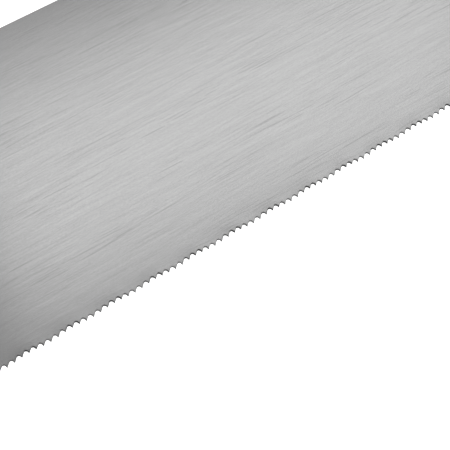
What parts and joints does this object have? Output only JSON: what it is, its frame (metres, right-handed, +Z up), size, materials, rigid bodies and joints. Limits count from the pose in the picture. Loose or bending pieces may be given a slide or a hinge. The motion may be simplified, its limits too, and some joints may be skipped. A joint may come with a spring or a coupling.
{
  "type": "hand saw",
  "caption": "Hand saw with a parallel brushed steel plate, fine wave-set teeth and a closed wooden handle, bolted to the plate with brass saw screws.",
  "frame": {"origin": "on the surface that the saw lies on, under the middle of its box", "axes": "+X along the toothline from the toe to the handle, the teeth face -Y, +Z up out of the plate's side"},
  "size_m": [0.4944, 0.1388, 0.022],
  "materials": {
    "plate": "brushed along the plate, a few degrees off the toothline",
    "handle": "varnished beech",
    "screws": "turned and polished"
  },
  "bodies": {
    "root": {"saw_plate": "plate", "handle": "handle", "medallion_screw": "screws", "medallion_nut": "screws", "saw_screw_1": "screws", "saw_screw_2": "screws", "saw_screw_3": "screws", "saw_screw_4": "screws", "saw_nut_1": "screws", "saw_nut_2": "screws", "saw_nut_3": "screws", "saw_nut_4": "screws"}
  },
  "joints": []
}
